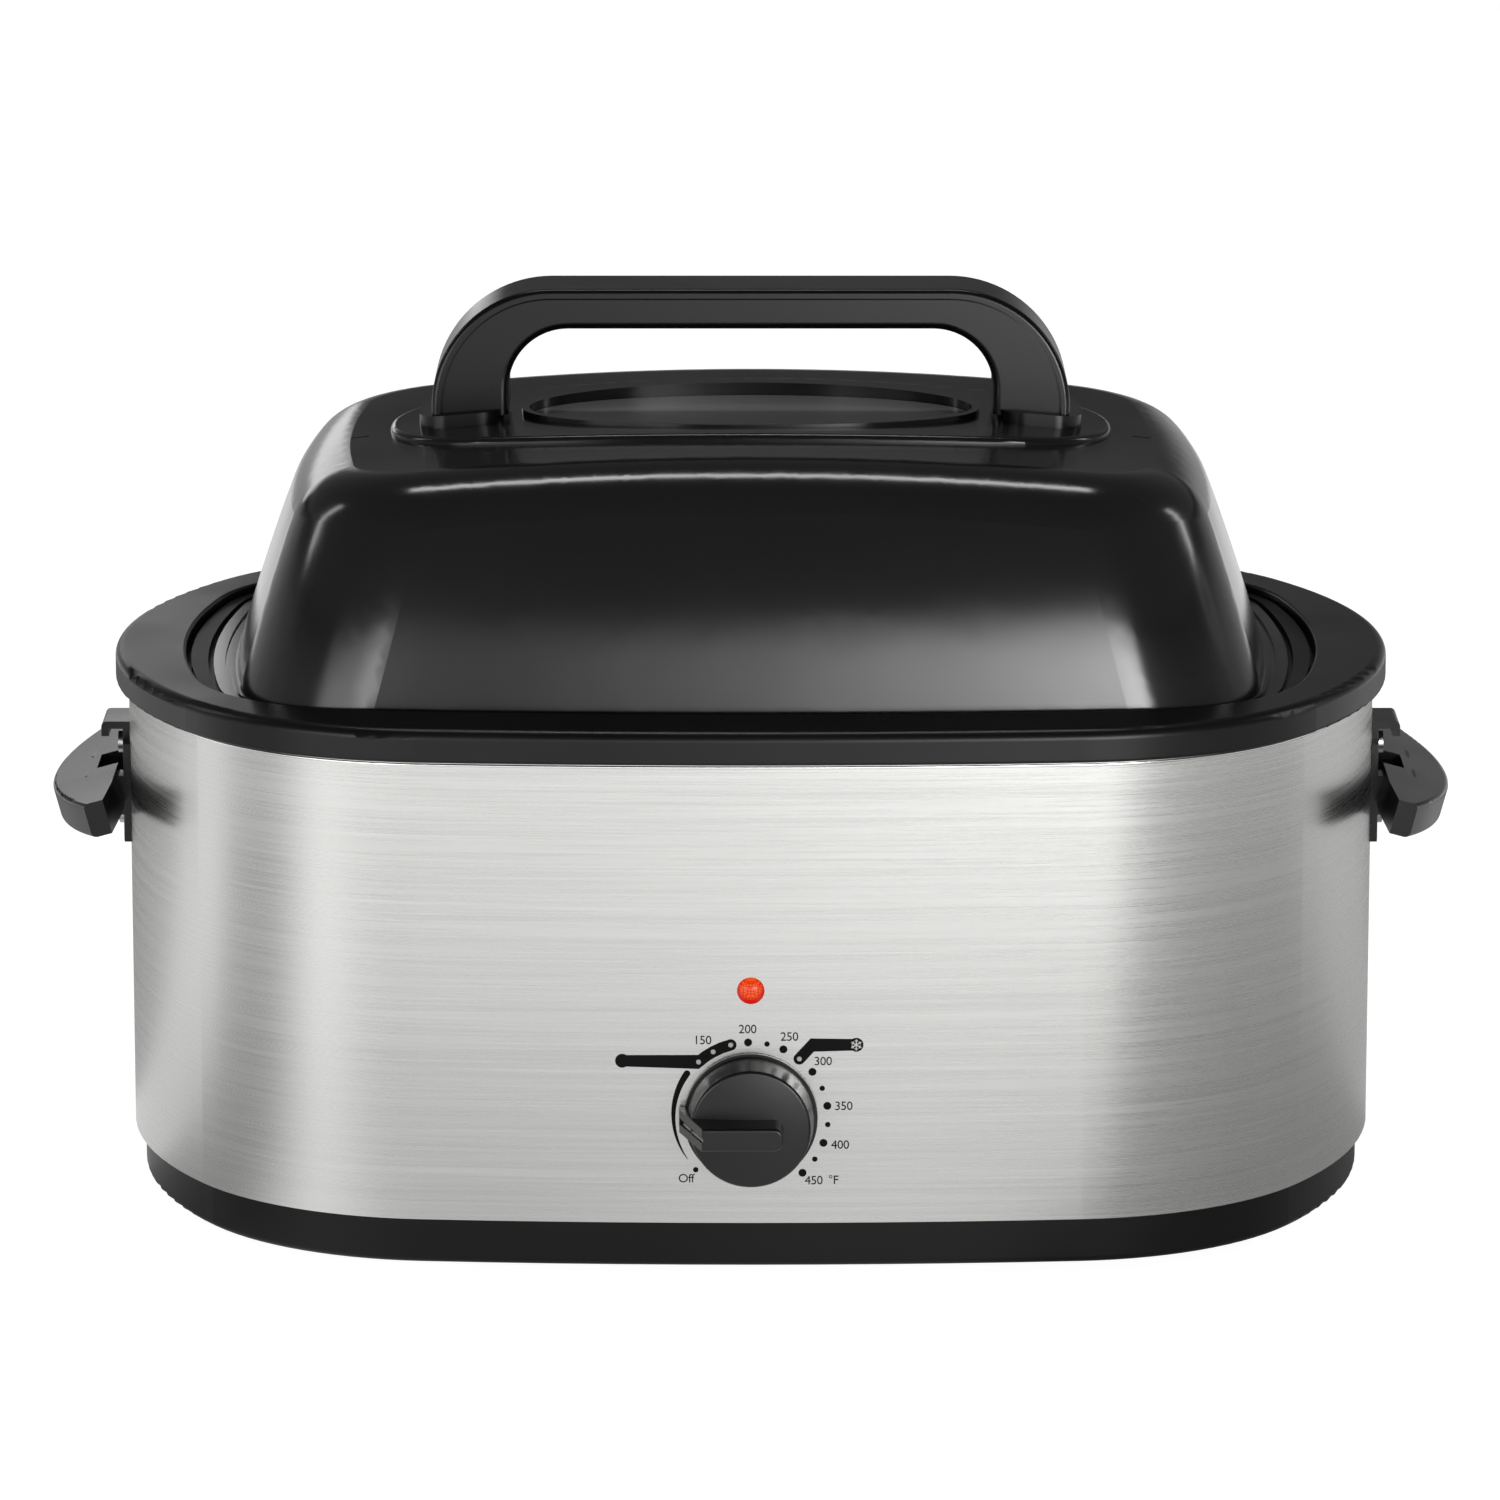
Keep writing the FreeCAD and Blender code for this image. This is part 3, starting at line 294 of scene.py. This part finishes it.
ROLL_RADIUS = 0.6 * MM
ROLL_DROP = 1.7 * MM
ROLL_GRAIN = 30.0
rim_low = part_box("rim_ring")[0].z
outline = outline_at_top("outer_wrap")
print("points on the wrap's outline:", len(outline))
roll = bpy.data.curves.new("rolled_edge_with_highlight", "CURVE")
roll.dimensions = "3D"
roll.bevel_depth = ROLL_RADIUS
roll.bevel_resolution = 3
spline = roll.splines.new("POLY")
spline.points.add(len(outline) - 1)
for point, flat in zip(spline.points, outline):
    point.co = (BODY.x + flat.x, BODY.y + flat.y, rim_low - ROLL_DROP, 1)
spline.use_cyclic_u = True
# Steel whiter and smoother than the wrap's: a painted highlight along the bead.
roll.materials.append(metal("painted_highlight_edge_steel", "#F2F2F0", 0.22, ROLL_GRAIN))
rolled_edge_with_highlight = bpy.data.objects.new("rolled_edge_with_highlight", roll)
bpy.context.scene.collection.objects.link(rolled_edge_with_highlight)
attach(rolled_edge_with_highlight, "housing")

# %% [markdown]
# The print round the knob is silk-screened ink, a few hundredths of a millimetre thick. It is
# made as real geometry: flat shapes that follow the shallow bow of the front, standing just
# proud of the steel. A point on the print is given in millimetres from the knob's axis. Where
# one ink lies on another it stands higher, by a number of layers.

# %% Ink and the bow of the front
INK_PROUD = 0.12
INK_SUNK = 0.05
SAME_POINT = 1e-4
OVER_BLACK = 1.2
WHITE_ON_BLACK = 2
black_ink = moulded("black_screen_ink", "#060606", 0.6, 1.0, 0.01, shine=0.1)
white_ink = moulded("white_screen_ink", "#F2F2F0", 0.5, 1.0, 0.01)


def on_front(x, z, proud):
    """A point of the front's surface, x and z in millimetres from the knob's axis."""
    side = KNOB.x + x * MM
    bow = FRONT_ARC - math.sqrt(FRONT_ARC ** 2 - side ** 2)
    return Vector((side, FRONT + bow - proud * MM, KNOB.z + z * MM))


def lay_ink(name, curve, ink, layer=1, shift=(0.0, 0.0)):
    """Fills a flat curve or word, gives it a little thickness and lays it on the bowed front."""
    flat = bpy.data.objects.new(name + "_flat", curve)
    bpy.context.scene.collection.objects.link(flat)
    bpy.context.view_layer.update()
    source = flat.evaluated_get(bpy.context.evaluated_depsgraph_get())
    mesh = bpy.data.meshes.new_from_object(source)
    bpy.data.objects.remove(flat)
    work = bmesh.new()
    work.from_mesh(mesh)
    bmesh.ops.remove_doubles(work, verts=work.verts, dist=SAME_POINT)
    lifted = bmesh.ops.extrude_face_region(work, geom=list(work.faces))
    raised = {item for item in lifted["geom"] if isinstance(item, bmesh.types.BMVert)}
    for vertex in work.verts:
        proud = INK_PROUD * layer if vertex in raised else -INK_SUNK
        vertex.co = on_front(vertex.co.x + shift[0], vertex.co.y + shift[1], proud)
    bmesh.ops.recalc_face_normals(work, faces=work.faces)
    work.to_mesh(mesh)
    work.free()
    mesh.materials.clear()
    mesh.materials.append(ink)
    piece = bpy.data.objects.new(name, mesh)
    bpy.context.scene.collection.objects.link(piece)
    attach(piece, "housing")


def print_shape(name, outlines, ink, layer=1):
    """Flat ink from closed outlines, each a list of x and z in millimetres."""
    curve = bpy.data.curves.new(name + "_outline", "CURVE")
    curve.dimensions = "2D"
    curve.fill_mode = "BOTH"
    for outline in outlines:
        spline = curve.splines.new("POLY")
        spline.points.add(len(outline) - 1)
        for point, (x, z) in zip(spline.points, outline):
            point.co = (x, z, 0, 1)
        spline.use_cyclic_u = True
    lay_ink(name, curve, ink, layer)


def disc(x, z, radius, count=24):
    """Outline of a dot."""
    return [(x + radius * math.cos(2 * math.pi * at / count),
             z + radius * math.sin(2 * math.pi * at / count)) for at in range(count)]


def round_the_knob(degrees, radius):
    """A place on a circle round the knob, counted from the right, anticlockwise."""
    turn = math.radians(degrees)
    return radius * math.cos(turn), radius * math.sin(turn)


# %% [markdown]
# The scale is a ring of dots, large at each number and small halfway between. Every dot is a
# flat disc of ink, and its place is an angle on the ring round the knob.

# %% Dots of the scale
DOT_RING = 29.9
BIG_DOT = 1.55
SMALL_DOT = 1.05
big_marks = {200: 92.0, 250: 65.1, 300: 37.3, 350: 8.7, 400: -20.1, 450: -48.0}
small_marks = [77.9, 22.7, -5.7, -34.1, -135.4]
dots = [disc(*round_the_knob(angle, DOT_RING), BIG_DOT) for angle in big_marks.values()]
dots += [disc(*round_the_knob(angle, DOT_RING), SMALL_DOT) for angle in small_marks]
print_shape("scale_dots", dots, black_ink)
print("dots on the scale:", len(dots))

# %% [markdown]
# Two black bars leave the ring: one marks the low settings, and one a mark between 250 and
# 300. The left bar follows the ring and the right one only starts on it. Both then run level
# to a round bulb, and white dots stand on them where they lie on the ring. A stroke is widened
# at each bend, which keeps its edges parallel.

# %% Bars
def stroke(points, width):
    """Outline of a bar of even width along a bent line, with round ends."""
    left, right = [], []
    for at, (x, z) in enumerate(points):
        before = points[max(at - 1, 0)]
        after = points[min(at + 1, len(points) - 1)]
        way = math.atan2(after[1] - before[1], after[0] - before[0])
        bend = 1.0
        if 0 < at < len(points) - 1:
            first = math.atan2(z - before[1], x - before[0])
            bend = math.cos(way - first)
        reach = width / 2 / bend
        left.append((x - reach * math.sin(way), z + reach * math.cos(way)))
        right.append((x + reach * math.sin(way), z - reach * math.cos(way)))
    caps = []
    quarter_turns = [math.radians(angle) for angle in range(75, -76, -15)]
    for end, inner in ((points[-1], points[-2]), (points[0], points[1])):
        way = math.atan2(end[1] - inner[1], end[0] - inner[0])
        caps.append([(end[0] + width / 2 * math.cos(way + turn), end[1] + width / 2 * math.sin(way + turn))
                     for turn in quarter_turns])
    return left + caps[0] + right[::-1] + caps[1]


BAR_WIDTH = 4.5
BULB = 2.75
WHITE_DOT = 0.95
WARM_ANGLES = (105.0, 112.0, 119.0, 126.0, 132.4)
WARM_REACH, WARM_RISE = 49.6, 0.3
MARK_ANGLE = 51.2
MARK_BEND = 5.0
warm_bend = [round_the_knob(angle, DOT_RING) for angle in WARM_ANGLES]
warm_end = (-WARM_REACH, warm_bend[-1][1] + WARM_RISE)
mark_start = round_the_knob(MARK_ANGLE, DOT_RING)
mark_end = (40.7, 28.8)
mark_bend = (mark_start[0] + MARK_BEND, mark_end[1])
dot_angles = WARM_ANGLES[::2] + (MARK_ANGLE,)
white_dots = [disc(*round_the_knob(angle, DOT_RING), WHITE_DOT) for angle in dot_angles]
print_shape("low_setting_bar", [stroke(warm_bend + [warm_end], BAR_WIDTH)], black_ink)
print_shape("mark_bar", [stroke([mark_start, mark_bend, mark_end], BAR_WIDTH)], black_ink)
print_shape("bar_bulbs", [disc(*warm_end, BULB), disc(*mark_end, BULB)], black_ink, layer=OVER_BLACK)
print_shape("bar_dots", white_dots, white_ink, layer=WHITE_ON_BLACK)
print("bars reach from", warm_end[0], "to", mark_end[0], "mm")

# %% [markdown]
# The crescent beside the knob leads from 150 down to Off. It is round and widest at its warmer
# end, near 150, and runs out to a point near Off: its half width falls with the share of the
# way, and its ring is drawn in a little.

# %% Tapering crescent
CRESCENT_WIDTH = 2.4
CRESCENT_START, CRESCENT_SWEEP = 144.7, 70.0
CRESCENT_RING, CRESCENT_DRAWN_IN = 30.2, 0.6
CRESCENT_FALL = 0.75
LEAST_HALF_WIDTH = 0.07
STEPS = 24
outer_side, inner_side = [], []
for at in range(STEPS + 1):
    share = at / STEPS
    angle, middle = CRESCENT_START + CRESCENT_SWEEP * share, CRESCENT_RING - CRESCENT_DRAWN_IN * share
    reach = CRESCENT_WIDTH / 2 * (1 - share) ** CRESCENT_FALL
    outer_side.append(round_the_knob(angle, middle + reach + LEAST_HALF_WIDTH))
    inner_side.append(round_the_knob(angle, middle - reach - LEAST_HALF_WIDTH))
print_shape("heat_crescent", [outer_side + inner_side[::-1]], black_ink)
round_end = disc(*round_the_knob(CRESCENT_START, CRESCENT_RING), CRESCENT_WIDTH / 2 + LEAST_HALF_WIDTH)
print_shape("crescent_end", [round_end], black_ink, layer=OVER_BLACK)
print("crescent points:", len(outer_side) * 2)

# %% [markdown]
# A snow crystal in white ink lies on the bulb of the right bar. It has six arms, and each arm
# has two short twigs. Each arm lies a hair higher than the last, so that no two faces share a
# plane where the arms cross.

# %% Snow crystal
def toward(degrees):
    """A direction on the front, in degrees from the right."""
    return Vector((math.cos(math.radians(degrees)), math.sin(math.radians(degrees))))


def spoke(degrees, start, length, width):
    """A thin bar from a point in a direction."""
    along = toward(degrees)
    across = Vector((-along.y, along.x)) * width / 2
    first, last = Vector(start), Vector(start) + along * length
    return [tuple(corner) for corner in (first - across, last - across, last + across, first + across)]


ARM_LENGTH, ARM_WIDTH = 2.2, 0.42
TWIG_LENGTH, TWIG_WIDTH = 0.8, 0.32
TWIG_START, TWIG_ANGLE = 1.2, 50
LAYER_STEP = 0.1
for number, way in enumerate(range(30, 390, 60)):
    fork = Vector(mark_end) + toward(way) * TWIG_START
    bars = [spoke(way, mark_end, ARM_LENGTH, ARM_WIDTH)]
    bars += [spoke(way + turn, fork, TWIG_LENGTH, TWIG_WIDTH) for turn in (TWIG_ANGLE, -TWIG_ANGLE)]
    for bar_number, bar in enumerate(bars):
        raised_by = WHITE_ON_BLACK + LAYER_STEP * number
        print_shape(f"crystal_{number}_{bar_number}", [bar], white_ink, layer=raised_by)
print("crystal arms:", number + 1)

# %% [markdown]
# Numbers are set in Blender's own plain typeface and are laid on the front the same way as the
# dots. Each one stands beside its dot, and the cell prints how far the numbers spread.

# %% Numbers of the scale
NUMBER_SIZE = 4.9


def print_number(name, text, x, z):
    """A number, its middle at x and z from the knob's axis."""
    curve = bpy.data.curves.new(name + "_text", "FONT")
    curve.body = text
    curve.size = NUMBER_SIZE
    curve.space_character = 0.95
    curve.align_x = "CENTER"
    curve.align_y = "CENTER"
    curve.resolution_u = 3
    lay_ink(name, curve, black_ink, shift=(x, z))


number_places = {"150": (-18.6, 30.6), "200": (-1.2, 35.0), "250": (14.9, 32.0), "300": (27.9, 22.2),
                 "350": (35.9, 4.3), "400": (34.6, -11.2), "450": (24.4, -25.4)}
for text, (x, z) in number_places.items():
    print_number("number_" + text, text, x, z)
print_number("unit_mark", "°F", 32.0, -25.3)
print_number("off_mark", "Off", -25.0, -24.6)
spread = [x for x, z in number_places.values()]
print("numbers spread over", round(max(spread) - min(spread), 1), "mm")

# %% [markdown]
# Polished steel and gloss black show nothing but what stands round them, so the studio is a
# set of cards, as product photographers build it. The camera looks down a little, so the
# upright steel shows what lies on the floor before it, while the lid, whose wall leans back,
# shows what stands up at the horizon. Each gets a card of its own that only gloss can see.

# %% Floor and sky
floor_paint, _ = blank("white_floor", {
    "Base Color": linear("#9C9C9C"), "Roughness": 0.95, "Specular IOR Level": 0.1,
    "Emission Color": linear("#FFFFFF"), "Emission Strength": 0.97})
FLOOR_SIZE = 24.0
FLOOR_DROP = 0.5 * MM
floor_mesh = bpy.data.meshes.new("studio_floor")
half = FLOOR_SIZE / 2
floor_mesh.from_pydata([(-half, -half, 0), (half, -half, 0), (half, half, 0), (-half, half, 0)],
                       [], [(0, 1, 2, 3)])
floor_mesh.materials.append(floor_paint)
floor = bpy.data.objects.new("studio_floor", floor_mesh)
floor.location.z = -FLOOR_DROP
bpy.context.scene.collection.objects.link(floor)

world = bpy.data.worlds.new("studio_world")
bpy.context.scene.world = world
world.use_nodes = True
sky = world.node_tree.nodes["Background"]
direction = add(world, "ShaderNodeTexCoord")
height = add(world, "ShaderNodeSeparateXYZ", links={"Vector": direction.outputs["Generated"]})
fade = add(world, "ShaderNodeValToRGB", links={"Fac": height.outputs["Z"]})
ramp(fade, [(0.0, 0.24), (0.1, 0.24), (0.3, 0.12), (1.0, 0.07)])
link(world, fade.outputs["Color"], sky.inputs["Color"])
bpy.context.scene.view_settings.view_transform = "Standard"
print("floor:", FLOOR_SIZE, "m wide")

# %% [markdown]
# A card is a ring of light round the oven. How bright it is follows the direction, so a bright
# stretch of it draws a bright band on the steel and a dark stretch a dark band. Only gloss
# rays may see it: it casts no light or shadow on anything dull. The radial gradient that reads
# the direction runs from 0 at -180 degrees to 1 at 180.

# %% Cards that only gloss sees
def card_paint(name, levels, near, far):
    """Light by the direction round the oven; near and far are each a distance and a strength."""
    material = bpy.data.materials.new(name)
    material.use_nodes = True
    material.node_tree.nodes.clear()
    place = add(material, "ShaderNodeTexCoord")
    around = add(material, "ShaderNodeTexGradient", {"gradient_type": "RADIAL"},
                 links={"Vector": place.outputs["Object"]})
    level = add(material, "ShaderNodeValToRGB", links={"Fac": around.outputs["Fac"]})
    ramp(level, [(degrees / 360 + 0.5, grey) for degrees, grey in levels])
    away = add(material, "ShaderNodeVectorMath", {"operation": "LENGTH"},
               links={"Vector": place.outputs["Object"]})
    fading = add(material, "ShaderNodeMapRange", {"interpolation_type": "SMOOTHSTEP"}, {
        "From Min": near[0], "From Max": far[0], "To Min": near[1], "To Max": far[1]},
        {"Value": away.outputs["Value"]})
    glow = add(material, "ShaderNodeEmission", links={
        "Color": level.outputs["Color"], "Strength": fading.outputs["Result"]})
    output = add(material, "ShaderNodeOutputMaterial")
    link(material, glow.outputs["Emission"], output.inputs["Surface"])
    return material


def round_card(name, inner, outer, paint, sides=96):
    """A band round the oven between two circles, each a radius and a height."""
    work = bmesh.new()
    circles = []
    for radius, up in (inner, outer):
        circles.append([work.verts.new((BODY.x + radius * math.cos(2 * math.pi * at / sides),
                                        BODY.y + radius * math.sin(2 * math.pi * at / sides), up))
                        for at in range(sides)])
    for at in range(sides):
        after = (at + 1) % sides
        work.faces.new([circles[0][at], circles[1][at], circles[1][after], circles[0][after]])
    mesh = bpy.data.meshes.new(name)
    work.to_mesh(mesh)
    work.free()
    mesh.materials.append(paint)
    card = bpy.data.objects.new(name, mesh)
    card.visible_camera = False
    card.visible_diffuse = False
    card.visible_shadow = False
    card.visible_transmission = False
    bpy.context.scene.collection.objects.link(card)


# %% [markdown]
# The levels pair a direction with a grey. Directions are in degrees from +X, anticlockwise
# seen from above, so the front is at -90. The card on the floor draws the bands of the steel,
# and the one at the horizon draws the glow low on the lid, brightest towards its right corner.

# %% Levels of the two cards
CARD_RADIUS = 1.3
CARD_HOLE = 0.12
floor_levels = [(-180, 0.52), (-172, 0.36), (-163, 0.30), (-156, 0.34), (-149, 0.62), (-142, 0.95),
                (-135, 0.82), (-128, 0.62), (-118, 0.57), (-106, 0.62), (-90, 0.69), (-78, 0.74),
                (-63, 0.68), (-58, 0.46), (-53, 0.29), (-30, 0.26), (0, 0.27), (12, 0.31), (20, 0.45),
                (38, 0.40), (55, 0.20), (64, 0.08), (116, 0.08), (132, 0.22), (148, 0.34), (156, 0.38),
                (162, 0.74), (174, 0.72)]
floor_near, floor_far = (0.3, 1.17), (0.8, 1.6)
round_card("floor_card", (CARD_HOLE, 0.0), (CARD_RADIUS, 0.0),
           card_paint("floor_card_light", floor_levels, floor_near, floor_far))
lid_levels = [(-180, 0.03), (-160, 0.03), (-151, 0.03), (-146, 0.18), (-138, 0.22), (-126, 0.24),
              (-119, 0.38), (-113, 0.50), (-110, 0.08), (-103, 0.05), (-90, 0.16), (-78, 0.42),
              (-66, 1.0), (-57, 0.95), (-54.5, 0.03), (-20, 0.02), (60, 0.03), (120, 0.03), (172, 0.03)]
card_low, fade_from, card_high = 0.14, 0.3, 0.56
LID_GLOW = 15.0
lid_near = (math.hypot(CARD_RADIUS, fade_from), LID_GLOW)
lid_far = (math.hypot(CARD_RADIUS, card_high), 0.0)
round_card("horizon_card", (CARD_RADIUS, card_low), (CARD_RADIUS, card_high),
           card_paint("horizon_card_light", lid_levels, lid_near, lid_far))
print("levels:", len(floor_levels), "on the floor,", len(lid_levels), "at the horizon")

# %% [markdown]
# A few soft lights do the rest. Seen in the gloss of the lid, the strip overhead draws the
# arch on its shoulder. Two narrow ones behind it draw the bright edges, and a low one behind
# on the left whitens the left of the rim.

# %% Lights
LIGHT_AIM = 0.25


def light(name, size, power, bearing, height, distance):
    """A soft light at a bearing (from +X, anticlockwise) and height angle, facing the lid."""
    data = bpy.data.lights.new(name, "AREA")
    data.shape = "RECTANGLE"
    data.size, data.size_y = size
    data.energy = power
    piece = bpy.data.objects.new(name, data)
    aim = Vector((BODY.x, BODY.y, LIGHT_AIM))
    flat, rise = math.radians(bearing), math.radians(height)
    way = Vector((math.cos(flat) * math.cos(rise), math.sin(flat) * math.cos(rise), math.sin(rise)))
    piece.location = aim + way * distance
    piece.rotation_euler = way.to_track_quat("Z", "Y").to_euler()
    piece.visible_camera = False
    bpy.context.scene.collection.objects.link(piece)


# Name, size in metres, power, bearing, height angle and distance.
lights = [("shoulder_strip", (1.1, 0.22), 7.5, 90, 80, 1.8),
          ("rear_left_edge", (0.13, 0.9), 2.2, 165, 24, 2.0),
          ("rear_right_edge", (0.16, 0.8), 2.6, 15, 20, 2.0),
          ("left_rim_sheet", (0.4, 0.16), 0.3, 116, 9.5, 1.05)]
for settings in lights:
    light(*settings)
print("lights:", len(lights))

# %% [markdown]
# The camera stands well back with a long lens, a little above the lid and looking down on
# the front, where the fitted outlines of the base, the rim and the wrap put it.

# %% Camera
SENSOR, LENS = 36.0, 204.23
SIDE, BACK, UP = -0.0003, 3.35254, 0.91755
LOOKING_DOWN = 12.564
camera_data = bpy.data.cameras.new("photo_camera")
camera_data.sensor_width = SENSOR
camera_data.lens = LENS
camera = bpy.data.objects.new("photo_camera", camera_data)
camera.location = (BODY.x + SIDE, BODY.y - BACK, UP)
camera.rotation_euler = (math.radians(90 - LOOKING_DOWN), 0, 0)
bpy.context.scene.collection.objects.link(camera)
bpy.context.scene.camera = camera
print("camera", BACK, "m in front and", UP, "m up")
